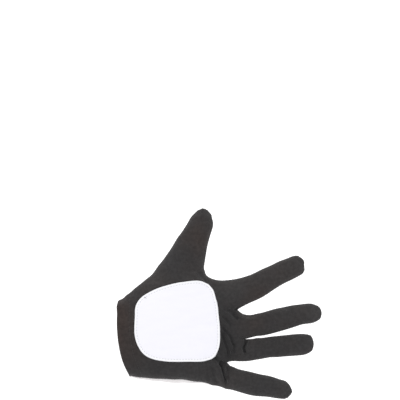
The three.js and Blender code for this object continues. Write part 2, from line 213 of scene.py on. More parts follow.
# Where the cloth is pulled sideways in its own plane: the place, the pull and how far it reaches
TUGS = table(
    "x y by_x by_y reach",
    (-32, 82, 0.35, -0.25, 7),
    (-24.5, 91.5, 1.2, -1, 5),
    (-20.5, 94.8, 0.8, -1.2, 3),
    (-14, 95, -0.2, -0.5, 3),
    (-8.5, 91, -1.3, -0.7, 4.5),
    (-5.5, 85.5, -0.8, 0, 3.5),
    (-8, 77, 0.8, 0, 6),
    (-13.8, 47, 0.35, 0, 9),
    (-13, 29, -1.4, -1.2, 7),
    (-41, 65, -0.4, 0.3, 5),
    (-49, 54, 0.2, -0.15, 5),
    (-61, 38, -0.35, 0.3, 5),
    (-67, 28, 0.4, -0.4, 5),
    (-89.5, 10.5, 0.3, -0.6, 5),
    (-96.5, 5, 0.8, -1.2, 4.5),
    (-102, -3, -1.2, 0, 5.5),
    (-101, -34, -0.5, 0, 14),
    (-98, -58, -0.8, -0.2, 17),
    (-87.5, -74, -0.3, 0.8, 3.5),
    (-66, -74, 0, -0.6, 11),
    (-35.5, -76.6, 0, 1.1, 8),
    (-17, -79, 0, 0.8, 6),
    (-6.4, -81, 0, -0.5, 3),
    (7, -84.4, 0.2, -0.9, 4),
    (36, -91.6, 0, -0.9, 11),
    (65.5, -95.3, 0, -0.5, 3),
    (71.5, -81.5, -1, -0.9, 4.5),
    (72.5, -89, 0.7, 0, 3),
    (18, -65, -0.3, -1.2, 10),
    (12.5, -62, -0.1, -0.5, 3),
    (7.5, -60.4, 1.3, 0.3, 3),
    (14, -57.8, 0, 0.9, 5),
    (50, -73.2, 0.1, 0.5, 6),
    (61.5, -75.8, -0.1, -0.5, 5),
    (29, -56.2, 0, -0.8, 7),
    (50, -54.2, 0, 0.7, 6),
    (87, -50.8, 0.2, -0.5, 5),
    (90, -34, 0.4, 0.75, 5),
    (38, -37, 0, 0.8, 4),
    (28, -35, -1, -0.3, 2.5),
    (84, -20.8, 0, 0.7, 7),
    (98, -1.8, -0.2, -0.8, 4),
    (73, -2.2, 0, 0.35, 6),
    (24.5, -8.5, -0.9, -2, 6),
    (21.5, -5, -0.7, 0.2, 4),
    (31.5, -11.6, 0, -1.5, 5),
    (86.5, 38, -0.6, -0.1, 4),
    (84.5, 43, 0.8, 0.1, 4),
    (83, 30.5, 0.7, -0.7, 4),
    (68, 45.4, 0.4, -1.1, 7),
    (42, 33, -0.2, 0.5, 8),
    (8, 22.6, 0, 0.5, 9),
)
PATCH_TUGS = table(
    "x y by_x by_y reach",
    (-10, 19, -1.2, -1.4, 8),
    (-3.6, 7.5, -1.4, -0.5, 7.5),
    (0.3, -23, 0.6, 0, 9),
    (-43, 19, -0.3, 1.5, 14),
    (-60, 15, -0.2, 0.4, 9),
    (-84.8, -10, 0.7, 0, 12),
    (-81, -43, 0.6, 0.3, 11),
    (-60, -58, 0, 0.6, 12),
    (-28, -58.4, 0, 0.35, 13),
    (-7, -54, 0.5, -0.6, 6),
)

# Where the palm's cloth bulges out past the side seam
PALM_BULGES = table("x y by_x by_y reach", (-48, -75, 0, -2.2, 25))
PALM_BULGE_START = (0.2, 3.5)  # range from the seam over which it grows
PALM_BULGE_END = 12

# Uneven tone of the knit: darker or lighter round each of these places, and warmer at the cuff
TONES = table(
    "x y reach dark warm",
    (9, -42, 15, 0.75, 0),
    (6, -14, 15, 0.5, 0),
    (8, -54, 7, 0.5, 0),
    (-8, -68, 13, 0.2, 0),
    (-82, -52, 14, 0.3, 0.3),
    (-24, 40, 18, 0.2, 0),
    (-26, 24, 12, -0.55, 0.1),
    (60, -44, 24, 0.3, 0),
    (-62, -68, 18, 0.25, 0),
    (-64, 20, 15, -0.7, 0.5),
    (12, 18, 12, -0.6, 0),
    (62, 32, 22, -0.35, 0.35),
    (36, 8, 14, 0, 0.5),
    (96, -10, 11, -0.5, 0),
    (34, -18, 14, 0.1, 0.35),
    (-16, 62, 20, 0, 0.5),
    (-101, -12, 16, 0.1, 1),
    (-99, -42, 20, 0.15, 0.8),
)

# Creases of the palm where the cloth lies on the surface, and across the roots of the digits
PALM_CREASES = table(
    "path wide deep ridge dark",
    ([(-74, -2), (-45, 4), (-12, 6), (12, 8)], 2.6, 0.75, 0, 0),
    ([(-80, -22), (-50, -20), (-20, -22), (14, -24)], 2.8, 0.7, 0, 0),
    ([(-78, -42), (-48, -43), (-22, -46), (6, -52)], 2.6, 0.6, 0, 0),
    ([(-52, 14), (-38, 26), (-30, 44)], 2.2, 0.6, 0, 0),
    ([(-22, 8), (-16, 22), (-12, 31)], 1.6, 0.5, 0, 0),
    ([(22, 14), (21, 6), (20, -3)], 1.4, 0.45, 0, 0),
    ([(28, -14), (27, -22), (28, -32)], 1.4, 0.45, 0, 0),
    ([(29, -38), (28, -44), (28, -52)], 1.4, 0.45, 0, 0),
    ([(14, -64), (15, -72), (18, -82)], 1.4, 0.45, 0, 0),
)

# Joints of the digits, with small wrinkles across: the place, the way to the tip and half the width
JOINTS = table(
    "x y heading half",
    (-24, 66, 67, 13),
    (48, 24, 28, 11),
    (63, 32, 27, 10.5),
    (53, -17.8, 14, 11),
    (73, -13, 12, 10.4),
    (52, -43.6, 6, 10.3),
    (70, -42, 5, 10),
    (36, -80.8, -11, 10.5),
    (50, -83.4, -12, 9.6),
)
JOINT_WRINKLES = [-3.1, 0, 2.7]  # where the wrinkles of a joint lie along the digit
JOINT_DEEP = 0.2
JOINT_WIDE = 0.9
JOINT_SPREAD = 0.8  # how much of the digit's width they cross
JOINT_BEND = 0.08

# Soft unevenness of the cloth: its size along and across the glove, and its height. Each seed is a pattern
RIPPLES = table("along across high", (30, 11, 0.6), (15, 6, 0.3), (6, 4, 0.13))
PALM_RIPPLES = table("along across high", (34, 12, 0.7), (14, 6, 0.34), (6, 4, 0.12))
PATCH_RIPPLES = table("along across high", (9, 9, 0.06))
BACK_SEED, PALM_SEED, PATCH_SEED = 3.7, 9.1, 5.3


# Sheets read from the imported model

def outer_sheet(node, downwards):
    """The outer face of a CAD panel as points and triangles."""
    mesh = bmesh.new()
    mesh.from_mesh(frame["nodes"][node].data)
    bmesh.ops.remove_doubles(mesh, verts=mesh.verts, dist=WELD)
    mesh.verts.index_update()
    mesh.faces.index_update()
    side = -1 if downwards else 1
    seed = max(mesh.faces, key=lambda face: side * face.calc_center_median().z)
    kept = {seed}
    todo = [seed]
    while todo:
        for edge in todo.pop().edges:
            if edge.calc_face_angle() > SHARP_FOLD:
                continue
            fresh = [face for face in edge.link_faces if face not in kept]
            kept.update(fresh)
            todo.extend(fresh)
    faces = sorted(kept, key=lambda face: face.index)
    corners = np.array([[vert.index for vert in face.verts] for face in faces])
    used, triangles = np.unique(corners, return_inverse=True)
    places = np.array([vert.co for vert in mesh.verts])
    mesh.free()
    return places[used] / MM, triangles.reshape(-1, 3)


def rim_of(triangles):
    """The points round a sheet, anticlockwise seen from outside."""
    sides = {(int(t[k]), int(t[(k + 1) % 3])) for t in triangles for k in range(3)}
    following = {a: b for a, b in sides if (b, a) not in sides}
    rim = [min(following)]
    while following[rim[-1]] != rim[0]:
        rim.append(following[rim[-1]])
    return np.array(rim)


def sharp_turns(points, rim):
    """The points of the rim where it turns a corner."""
    before = points[rim] - points[np.roll(rim, 1)]
    after = points[np.roll(rim, -1)] - points[rim]
    cosine = (before * after).sum(1) / (lengths(before) * lengths(after))
    return rim[cosine < math.cos(RIM_CORNER)]


def lengths(vectors):
    return np.linalg.norm(vectors, axis=1)


def unit(vectors):
    return vectors / np.linalg.norm(vectors, axis=-1, keepdims=True)


def edges_of(triangles):
    """Each edge once, the edge on each side of each triangle, and the corner that faces that side."""
    sides = triangles[:, [0, 1, 1, 2, 2, 0]].reshape(-1, 2)
    facing = triangles[:, [2, 0, 1]].ravel()
    edges, edge_of_side = np.unique(np.sort(sides, axis=1), axis=0, return_inverse=True)
    return edges, edge_of_side.ravel(), facing


def refine(values, triangles, rim, corners):
    """One step of Loop subdivision. The rim runs through its points and keeps its corners."""
    count = len(values)
    edges, edge_of_side, facing = edges_of(triangles)
    a, b = edges.T
    opposite = sum_at(edge_of_side, values[facing], len(edges))
    middles = (values[a] + values[b]) * 3 / 8 + opposite / 8

    valence = np.bincount(edges.ravel(), minlength=count)
    ring = sum_at(a, values[b], count) + sum_at(b, values[a], count)
    share = np.where(valence == 3, 3 / 16, 3 / (8 * valence))[:, None]
    moved = values * (1 - valence[:, None] * share) + ring * share
    moved[rim] = values[rim]

    ahead = np.roll(rim, -1)
    key = edges[:, 0] * count + edges[:, 1]
    rim_edges = np.searchsorted(key, np.minimum(rim, ahead) * count + np.maximum(rim, ahead))
    here, there = values[rim], values[ahead]
    before = np.where(np.isin(rim, corners)[:, None], 2 * here - there, values[np.roll(rim, 1)])
    after = np.where(np.isin(ahead, corners)[:, None], 2 * there - here, values[np.roll(rim, -2)])
    middles[rim_edges] = between(before, here, there, after)

    places = np.hstack([triangles, count + edge_of_side.reshape(-1, 3)])
    finer = np.concatenate([places[:, cut] for cut in CUTS[3]])
    return np.concatenate([moved, middles]), finer, np.stack([rim, count + rim_edges], axis=1).ravel()


def between(before, here, there, after):
    """Halfway from here to there on a centripetal Catmull-Rom curve. The first three columns are places."""
    row = [before, here, there, after]
    knots = [0]
    for start, end in zip(row, row[1:]):
        knots.append(knots[-1] + np.sqrt(lengths(end[:, :3] - start[:, :3]) + LEAST)[:, None])
    middle = (knots[1] + knots[2]) / 2

    def blend(first, last, low, high):
        return ((high - middle) * first + (middle - low) * last) / (high - low)

    pairs = [blend(row[k], row[k + 1], knots[k], knots[k + 1]) for k in range(3)]
    halves = [blend(pairs[k], pairs[k + 1], knots[k], knots[k + 2]) for k in range(2)]
    return blend(*halves, knots[1], knots[2])


def split_edges(values, triangles, chosen):
    """Halves the chosen edges and cuts the triangles on them into two, three or four."""
    edges, edge_of_side, _ = edges_of(triangles)
    count = len(values)
    middle_of = np.full(len(edges), -1)
    picked = chosen(edges)
    middle_of[picked] = count + np.arange(picked.sum())
    values = np.concatenate([values, values[edges[picked]].mean(axis=1)])
    middles = middle_of[edge_of_side.reshape(-1, 3)]
    number = (middles >= 0).sum(axis=1)
    pieces = []
    for halved, cuts in enumerate(CUTS):
        rows = np.flatnonzero(number == halved)
        first = np.argmax((middles[rows] >= 0) == (halved == 1), axis=1)
        order = (first[:, None] + np.arange(3)) % 3
        places = np.hstack([np.take_along_axis(found[rows], order, axis=1) for found in (triangles, middles)])
        pieces += [places[:, cut] for cut in cuts]
    return values, np.concatenate(pieces)


def sum_at(places, rows, count):
    """The sum of the rows that belong to each place."""
    return np.stack([np.bincount(places, weights=column, minlength=count) for column in rows.T], axis=1)


def lay_flat(points, triangles, downwards):
    """Fabric coordinates: the sheet eased on to a plane so that its edges keep their lengths."""
    a, b = edges_of(triangles)[0].T
    wanted = lengths(points[b] - points[a])
    flat = points[:, :2] * ((1, -1) if downwards else (1, 1))
    edge_count = np.bincount(np.concatenate([a, b]), minlength=len(points))[:, None]
    for _ in range(FLATTEN_SWEEPS):
        gap = flat[b] - flat[a]
        now = np.maximum(lengths(gap), LEAST)
        pull = gap * ((now - wanted) / now / 2)[:, None]
        flat = flat + FLATTEN_EASE * (sum_at(a, pull, len(flat)) - sum_at(b, pull, len(flat))) / edge_count
    return flat


def normals_of(points, triangles):
    a, b, c = (points[triangles[:, k]] for k in range(3))
    across = np.cross(b - a, c - a)
    total = sum(sum_at(triangles[:, k], across, len(points)) for k in range(3))
    return total / np.maximum(lengths(total), LEAST)[:, None]


def cloth_from(node, creases=(), downwards=False):
    """A fine sheet from a CAD panel's outer face, finer still at its creases. coarse is the step before."""
    values, triangles = outer_sheet(node, downwards)
    rim = rim_of(triangles)
    corners = sharp_turns(values, rim)
    for step in range(FINE):
        if step == 1:
            values = np.hstack([values, lay_flat(values, triangles, downwards)])
        coarse = SimpleNamespace(count=len(values), triangles=triangles, rim=rim)
        values, triangles, rim = refine(values, triangles, rim, corners)

    for _ in range(CREASE_SPLITS if creases else 0):
        moved, _ = crease_at(values, creases)

        def steep(edges):
            long = lengths(np.diff(values[edges][:, :, :3], axis=1)[:, 0]) > CREASE_EDGE
            inner = ~np.isin(edges, rim).all(axis=1)
            return long & inner & (np.abs(np.diff(moved[edges], axis=1)[:, 0]) > CREASE_STEP)

        values, triangles = split_edges(values, triangles, steep)
    cloth = SimpleNamespace(points=values[:, :3], fabric=values[:, 3:], triangles=triangles)
    cloth.rim, cloth.corners, cloth.coarse = rim, corners, coarse
    cloth.normals = normals_of(cloth.points, triangles)
    return cloth


# Distances on the cloth

def split_rim(cloth):
    """The two parts of the rim, the cuff and the side seam, each from corner to corner."""
    first, last = sorted(cloth.corners, key=lambda i: cloth.points[i][0])[:2]
    start = int(np.flatnonzero(cloth.rim == first)[0])
    loop = np.roll(cloth.rim, -start)
    turn = int(np.flatnonzero(loop == last)[0])
    runs = [loop[: turn + 1], np.append(loop[turn:], first)]
    return sorted(runs, key=lambda run: cloth.points[run][:, 0].mean())


def along(points):
    """The length of a line of points up to each of them."""
    return np.concatenate([[0], np.cumsum(lengths(np.diff(points, axis=0)))])


def nearest_on(run, points):
    """How far each point is from a run of points, and how far along it that is."""
    tree = KDTree(len(run))
    for i, place in enumerate(run):
        tree.insert(place, i)
    tree.balance()
    found = [tree.find(place)[1:] for place in points]
    index = np.array([i for i, _ in found])
    return np.array([distance for _, distance in found]), along(run)[index]


def bell(distance, width):
    return np.exp(-((distance / width) ** 2))


def smooth_step(value, low, high):
    share = np.clip((value - low) / (high - low), 0, 1)
    return share * share * (3 - 2 * share)


def fold_at(from_edge, radius, full=1):
    """How far a rounded fold has fallen at each distance from its edge, as a share of its radius."""
    over = np.clip(1 - from_edge / radius, 0, 1)
    return 1 - np.sqrt(1 - over**2 * full)


def wave(places, long, start=0.0):
    return np.sin(2 * math.pi * places / long + start)


def from_path(places, path):
    """The distance of each place from a path, how far left of it and at what share of its length."""
    reached = along(path)
    nearest = np.full(len(places), np.inf)
    left = np.zeros(len(places))
    share = np.zeros(len(places))
    for start, end, so_far in zip(path, path[1:], reached):
        step = end - start
        offset = places - start
        part = np.clip(offset @ step / (step @ step), 0, 1)
        away = offset - part[:, None] * step
        distance = lengths(away)
        nearer = distance < nearest
        nearest = np.where(nearer, distance, nearest)
        turn = np.sign(step[0] * away[:, 1] - step[1] * away[:, 0])
        left = np.where(nearer, turn * distance, left)
        share = np.where(nearer, (so_far + part * math.sqrt(step @ step)) / reached[-1], share)
    return nearest, left, share


def crease_at(points, creases):
    """How far the creases move the cloth outwards at each point, and how much shade is painted into them."""
    total = np.zeros(len(points))
    dark = np.zeros(len(points))
    for crease in creases:
        distance, left, share = from_path(points[:, :2], np.array(crease["path"], float))
        fade = smooth_step(np.minimum(share, 1 - share), 0, CREASE_FADE)
        wide = crease["wide"]
        away, broad = RIDGE_AWAY * wide, RIDGE_WIDE * wide
        ridges = bell(left - away, broad) + RIGHT_RIDGE * bell(left + away, broad)
        valley = np.exp(-((distance / wide) ** CREASE_STEEP))
        total += fade * (crease["ridge"] * ridges - crease["deep"] * valley)
        # shade painted into the crease's valley
        dark += fade * crease["dark"] * valley
    return total, dark


def near(points, row):
    """1 at the row's place, seen from above, and falling to about a third over its reach."""
    return bell(lengths(points[:, :2] - (row["x"], row["y"])), row["reach"])


def tugged(points, tugs):
    """The points moved sideways by the tugs."""
    moved = points.copy()
    for tug in tugs:
        moved[:, :2] += near(points, tug)[:, None] * (tug["by_x"], tug["by_y"])
    return moved


def tone_at(points, key):
    """The sum of one column of the uneven tones at each point."""
    return sum(tone[key] * near(points, tone) for tone in TONES)


def joint_wrinkles(points):
    """The small wrinkles across each joint of the digits."""
    total = np.zeros(len(points))
    for joint in JOINTS:
        turn = math.radians(joint["heading"])
        ahead = np.array([math.cos(turn), math.sin(turn)])
        offset = points[:, :2] - (joint["x"], joint["y"])
        along_digit = offset @ ahead
        across = offset @ (-ahead[1], ahead[0])
        window = bell(across / joint["half"], JOINT_SPREAD)
        bend = JOINT_BEND * across**2 / joint["half"]
        for place in JOINT_WRINKLES:
            total -= JOINT_DEEP * window * bell(along_digit - place + bend, JOINT_WIDE)
    return total


def ripples_at(fabric, ripples, seed):
    """Smooth unevenness of the cloth, longer along the glove than across it."""
    total = np.zeros(len(fabric))
    for ripple in ripples:
        scaled = fabric / (ripple["along"], ripple["across"])
        total += ripple["high"] * np.array([noise.noise(Vector((u, v, seed))) for u, v in scaled])
    return total


# The two knitted panels

def near_rim(cloth):
    """Measures a knitted panel from its side seam and from its cuff."""
    cloth.cuff, cloth.seam = split_rim(cloth)
    cloth.from_seam, cloth.along_seam = nearest_on(cloth.points[cloth.seam], cloth.points)
    cloth.from_cuff, _ = nearest_on(cloth.points[cloth.cuff], cloth.points)


def level_at_seam(cloth):
    """Turns the normals level at the side seam, so that the two panels meet edge to edge."""
    cloth.normals[:, 2] *= smooth_step(cloth.from_seam, *LEVEL_END)
    on_seam = np.isin(np.arange(len(cloth.points)), cloth.seam[1:-1])
    cloth.normals[on_seam, 2] = 0
    cloth.normals = unit(cloth.normals)


def hem_at(cloth):
    """The hem, lifted a little by its second layer and drawn in by its stitches."""
    raised = HEM_RAISED * (1 - smooth_step(cloth.from_cuff, *HEM_RAISED_END))
    groove = HEM_GROOVE * bell(cloth.from_cuff - HEM_STITCH, HEM_GROOVE_WIDTH)
    return raised - groove - hem_fold(cloth)


def hem_fold(cloth):
    """How far each face of the hem comes in at its fold."""
    radius = HEM_THICK / 2
    return radius * fold_at(cloth.from_cuff, radius, HEM_FULL)


def seam_at(cloth):
    """The side seam: drawn in between fuller cloth, and puckered."""
    ease = SEAM_EASE * bell(cloth.from_seam, SEAM_EASE_REACH)
    for crotch in NARROW_CROTCHES:
        ease *= 1 - near(cloth.points, crotch)
    dip = SEAM_DIP * bell(cloth.from_seam, SEAM_DIP_WIDTH)
    slow = 1 - PUCKER_SWING + PUCKER_SWING * wave(cloth.along_seam, PUCKER_BEAT)
    pucker = PUCKER_DEEP * wave(cloth.along_seam, PUCKER_PITCH) * slow
    return ease - dip + pucker * bell(cloth.from_seam - PUCKER_AWAY, PUCKER_REACH)


def shape_panel(cloth, creases, ripples, seed, side):
    """Moves a panel's cloth along its normals. side is 1 for the back and -1 for the palm."""
    near_rim(cloth)
    level_at_seam(cloth)
    free = smooth_step(cloth.from_seam, *CLOTH_FREE)
    out = hem_at(cloth) + seam_at(cloth) + joint_wrinkles(cloth.points) * free
    creased, dark = crease_at(cloth.points, creases)
    out += creased * smooth_step(cloth.from_seam, *CREASE_FREE)
    out += ripples_at(cloth.fabric, ripples, seed) * free
    # darkness: the knit's uneven tone plus the shade painted into its creases
    cloth.dark = tone_at(cloth.points, "dark") + dark
    cloth.warm = tone_at(cloth.points, "warm")
    cloth.points = cloth.points + cloth.normals * out[:, None]
    cloth.points[:, 2] -= side * SEAM_CLOSED * bell(cloth.from_seam, SEAM_CLOSED_REACH)


def shape_back(patch_edge):
    """The back's cloth, drawn in a little along the edge of the patch and waved at the cuff."""
    cloth = cloth_from("back_panel", CREASES)
    from_patch, along_patch = nearest_on(patch_edge, cloth.points)
    shape_panel(cloth, CREASES, RIPPLES, BACK_SEED, side=1)
    pucker = PATCH_PUCKER_DEEP * wave(along_patch, PATCH_PUCKER_PITCH) * wave(along_patch, PATCH_PUCKER_BEAT)
    pucker *= bell(from_patch, PATCH_PUCKER_REACH) * smooth_step(cloth.from_seam, *PATCH_PUCKER_FREE)
    cuff_wave = CUFF_WAVE * wave(cloth.points[:, 1], CUFF_WAVE_LONG, CUFF_WAVE_START)
    cuff_wave *= bell(cloth.from_cuff, CUFF_WAVE_REACH) * smooth_step(cloth.from_seam, *CUFF_WAVE_FREE)
    cloth.points = cloth.points + cloth.normals * (pucker + cuff_wave)[:, None]
    cloth.points = tugged(cloth.points, TUGS)
    return cloth


def shape_palm():
    """The palm's cloth, which bulges out along the heel of the hand and lies on the surface."""
    cloth = cloth_from("palm_panel", downwards=True)
    lying = 1 - smooth_step(cloth.points[:, 2], *LYING_HIGH)
    shape_panel(cloth, PALM_CREASES, PALM_RIPPLES, PALM_SEED, side=-1)
    free = smooth_step(cloth.from_seam, *PALM_BULGE_START) * bell(cloth.from_seam, PALM_BULGE_END)
    cloth.points += (tugged(cloth.points, PALM_BULGES) - cloth.points) * free[:, None]
    cloth.points[:, 2] += lying * LYING_LIFT * np.maximum(0, 1 - cloth.points[:, 2])
    least = LIFT + HEM_THREAD * bell(cloth.from_cuff - HEM_STITCH, HEM_THREAD_REACH)
    cloth.points[:, 2] = np.maximum(cloth.points[:, 2], least)
    cloth.points = tugged(cloth.points, TUGS)
    return cloth


def shape_patch(cloth, under):
    """Lays the patch on the back, with a folded edge and a stitched groove inside it. Gives its underside."""
    cloth.from_edge, _ = nearest_on(cloth.points[cloth.rim], cloth.points)
    cloth.points = tugged(cloth.points, PATCH_TUGS)
    tree = BVHTree.FromPolygons(under.points.tolist(), under.triangles.tolist())
    below = []
    for place, way in zip(cloth.points, cloth.normals):
        hit = tree.ray_cast(Vector(place), Vector(-way))[0]
        below.append(hit if hit is not None else Vector(place - way * PATCH_THICK))
    below = np.array(below)
    below -= cloth.normals * np.minimum(crease_at(below, CREASES)[0], 0)[:, None]

    fold = fold_at(cloth.from_edge, PATCH_ROUND)
    groove = PATCH_GROOVE * bell(cloth.from_edge - PATCH_STITCH, PATCH_GROOVE_WIDTH)
    puff = PATCH_PUFF * smooth_step(cloth.from_edge, *PATCH_PUFF_START)
    puff *= 1 - smooth_step(cloth.from_edge, *PATCH_PUFF_END)
    high = PATCH_OFF + PATCH_THICK * (1 - PATCH_FOLD * fold) - groove + puff
    high += ripples_at(cloth.fabric, PATCH_RIPPLES, PATCH_SEED)
    cloth.points = below + cloth.normals * high[:, None]
    low = PATCH_OFF + PATCH_FOLD_UNDER * PATCH_THICK * fold
    coarse = slice(cloth.coarse.count)
    return below[coarse] + cloth.normals[coarse] * low[coarse, None]


# Meshes

def closed(cloth, inner):
    """A closed wall from a fine outer face and a coarser inner one: its points and triangles."""
    count = len(cloth.points)
    first, middle = cloth.rim[::2], cloth.rim[1::2]
    last = np.roll(first, -1)
    start = cloth.coarse.rim + count
    end = np.roll(start, -1)
    bridge = [(middle, first, start), (middle, start, end), (last, middle, end)]
    faces = [cloth.triangles, cloth.coarse.triangles[:, ::-1] + count]
    faces += [np.stack(side, axis=1) for side in bridge]
    return np.concatenate([cloth.points, inner]), np.concatenate(faces)


def add_object(name, data):
    thing = bpy.data.objects.new(name, data)
    bpy.context.scene.collection.objects.link(thing)
    return thing


def make_piece(name, points, faces, material, slot, fabric=None, values=None):
    """A Blender object from points in millimetres. values holds numbers for the material, by name."""
    mesh = bpy.data.meshes.new(name)
    mesh.from_pydata((points * MM).tolist(), [], faces.tolist())
    mesh.update()
    if fabric is not None:
        corner = np.zeros(len(mesh.loops), np.int32)
        mesh.loops.foreach_get("vertex_index", corner)
        mesh.uv_layers.new(name="fabric").uv.foreach_set("vector", fabric[corner].astype(np.float32).ravel())
    for key, numbers in (values or {}).items():
        attribute = mesh.attributes.new(key, "FLOAT", "POINT")
        attribute.data.foreach_set("value", numbers.astype(np.float32))
    mesh.materials.append(material)
    mesh.shade_smooth()
    mesh.set_sharp_from_angle(angle=SHARP_FOLD)
    piece = add_object(name, mesh)
    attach(piece, BODY)
    return piece


def inner_face(cloth):
    """The points of a knitted panel's inner face."""
    coarse = slice(cloth.coarse.count)
    thick = CLOTH_THICK + (HEM_THICK - CLOTH_THICK) * (1 - smooth_step(cloth.from_cuff, *HEM_THICK_END))
    thick = np.maximum(thick - 2 * hem_fold(cloth), HEM_LEAST)
    return cloth.points[coarse] - cloth.normals[coarse] * thick[coarse, None]


def make_sheet(name, node, cloth, inner, material, slot, values):
    """The piece that stands for a CAD node. values names what its material reads."""
    points, faces = closed(cloth, inner)

    def twice(numbers):
        return np.concatenate([numbers, numbers[: len(inner)]])

    numbers = {key: twice(getattr(cloth, key)) for key in values}
    piece = make_piece(name, points, faces, material, slot, twice(cloth.fabric), numbers)
    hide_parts(node)


# Stitches

def place_finder(cloth):
    """A function from fabric coordinates to places and outward directions on the cloth."""
    flat = np.column_stack([cloth.fabric, np.zeros(len(cloth.fabric))])
    tree = BVHTree.FromPolygons(flat.tolist(), cloth.triangles.tolist())
    normals = normals_of(cloth.points, cloth.triangles)

    def find(fabric):
        places, ways = [], []
        for u, v in fabric:
            hit, _, index, _ = tree.find_nearest((u, v, 0))
            corners = cloth.triangles[index]
            a, b, c = cloth.fabric[corners]
            share = np.linalg.solve(np.column_stack([b - a, c - a]), np.array(hit[:2]) - a)
            weights = np.array([1 - share.sum(), *share])
            places.append(weights @ cloth.points[corners])
            ways.append(weights @ normals[corners])
        return np.array(places), unit(np.array(ways))

    return find


def inset(run, distance, over):
    """A line of fabric coordinates moved to its left, with its direction taken over a length."""
    reached = along(run)
    step = sampled(run, reached + over) - sampled(run, reached - over)
    left = np.column_stack([-step[:, 1], step[:, 0]])
    return run + distance * unit(left)


def sampled(line, places, reached=None):
    """The values of a line at places along it. reached is the place of each value, if not by its length."""
    reached = along(line) if reached is None else reached
    return np.column_stack([np.interp(places, reached, column) for column in line.T])


def tubes(paths, ways, radius, sides=6):
    """Closed tubes along paths. ways are the directions away from the cloth."""
    paths, ways = np.array(paths), np.array(ways)
    count, steps = paths.shape[:2]
    ahead = unit(np.gradient(paths, axis=1))
    across = unit(np.cross(ahead, ways))
    up = np.cross(across, ahead)
    turn = 2 * math.pi * np.arange(sides) / sides
    taper = np.ones(steps)
    taper[[0, -1]] = THREAD_TAPER
    ring = across[:, :, None] * np.cos(turn)[:, None] + up[:, :, None] * np.sin(turn)[:, None]
    rings = paths[:, :, None] + radius * taper[:, None, None] * ring
    points = np.concatenate([rings.reshape(count, -1, 3), paths[:, [0, -1]]], axis=1)
    faces = []
    for j in range(steps - 1):
        for k in range(sides):
            a, b = j * sides + k, j * sides + (k + 1) % sides
            faces += [(a, b + sides, b), (a, a + sides, b + sides)]
    start, end = steps * sides, steps * sides + 1
    last = (steps - 1) * sides
    for k in range(sides):
        after = (k + 1) % sides
        faces += [(start, k, after), (end, last + after, last + k)]
    faces = np.array(faces)[None] + (np.arange(count) * points.shape[1])[:, None, None]
    return points.reshape(-1, 3), faces.reshape(-1, 3)


def running_stitches(line, find, pitch, length, radius, closed_line=False):
    """Stitches along a line of fabric coordinates, with their ends in the cloth."""
    total = along(line)[-1]
    count = int(total // pitch)
    spacing = total / count if closed_line else pitch
    margin = 0 if closed_line else (total - count * pitch) / 2
    shares = np.linspace(0, 1, STITCH_STEPS)
    height = radius * STITCH_PROUD * np.sin(math.pi * shares) ** 0.5
    height -= (radius + STITCH_SUNK) * np.abs(2 * shares - 1) ** 6
    paths, ways = [], []
    for k in range(count):
        start = margin + k * spacing + (spacing - length) / 2
        places, directions = find(sampled(line, start + shares * length))
        paths.append(places + directions * height[:, None])
        ways.append(directions)
    return tubes(paths, ways, radius)


def along_side_seam(back, pitch):
    """Places along the side seam, the way into the glove from each and the way along it."""
    line = back.points[back.seam]
    line = sampled(line, np.arange(HEM_THICK, along(line)[-1] - HEM_THICK, pitch))
    line[:, 2] -= SEAM_MIDDLE
    ahead = unit(np.gradient(line, axis=0))
    inward = unit(np.column_stack([-ahead[:, 1], ahead[:, 0], np.zeros(len(line))]))
    return line, inward, ahead


def seam_stitches(back):
    """Short slanted stitches across the side seam, down in its groove."""
    line, inward, ahead = along_side_seam(back, SEAM_PITCH)
    path = []
    for point in SEAM_STITCH:
        place = line - point["out"] * SEAM_THREAD * inward + point["height"] * SEAM_SLANT * ahead
        place[:, 2] += point["height"] * SEAM_BITE
        path.append(place)
    ways = np.repeat(-inward[:, None], len(path), axis=1)
    return tubes(np.stack(path, axis=1), ways, SEAM_THREAD)


def wave_inside(places):
    """How far the edges inside the glove rise and fall along the side seam."""
    return sum(row["high"] * wave(places, row["long"]) for row in EDGE_WAVES)


def seam_edge(back, side):
    """A panel's own edge inside the glove: a slightly waved strip along the side seam."""
    line, inward, _ = along_side_seam(back, EDGE_STEP)
    rise = wave_inside(along(line))
    rings = []
    for reach, height in ((EDGE_START, 0), (EDGE_END, 0), (EDGE_END, 1), (EDGE_START, 1)):
        ring = line + reach * inward
        ring[:, 2] += side * (EDGE_APART + height * EDGE_THICK)
        ring[:, 2] += rise * (reach == EDGE_END)
        rings.append(ring)
    if side > 0:
        rings.reverse()
    points = np.stack(rings, axis=1).reshape(-1, 3)
    count = len(line)
    faces = [(0, 1, 2, 3), tuple(4 * count - k for k in (1, 2, 3, 4))]
    for i in range(count - 1):
        for k in range(4):
            a, b = 4 * i + k, 4 * i + (k + 1) % 4
            faces.append((a, a + 4, b + 4, b))
    return points, np.array(faces)


def overlock(back):
    """One thread wound along the two edges inside the glove."""
    line, inward, ahead = along_side_seam(back, EDGE_STEP)
    places = along(line)
    stitches = np.arange(OVERLOCK_PITCH, places[-1] - OVERLOCK_PITCH, OVERLOCK_PITCH)
    high = EDGE_APART + EDGE_THICK + OVERLOCK_THREAD * OVERLOCK_PROUD
    reaches = {"near": OVERLOCK_REACH, "far": EDGE_END + OVERLOCK_THREAD}
    path, ways = [], []
    for turn in OVERLOCK_TURNS:
        here = stitches + turn["shift"] * OVERLOCK_PITCH
        reach = reaches[turn["reach"]]
        point = sampled(line, here, places) + reach * sampled(inward, here, places)
        point[:, 2] += turn["side"] * high + wave_inside(here) * reach / EDGE_END
        path.append(point)
        ways.append(sampled(ahead, here, places))
    path = np.stack(path, axis=1).reshape(1, -1, 3)
    ways = np.stack(ways, axis=1).reshape(1, -1, 3)
    return tubes(path, ways, OVERLOCK_THREAD, OVERLOCK_SIDES)


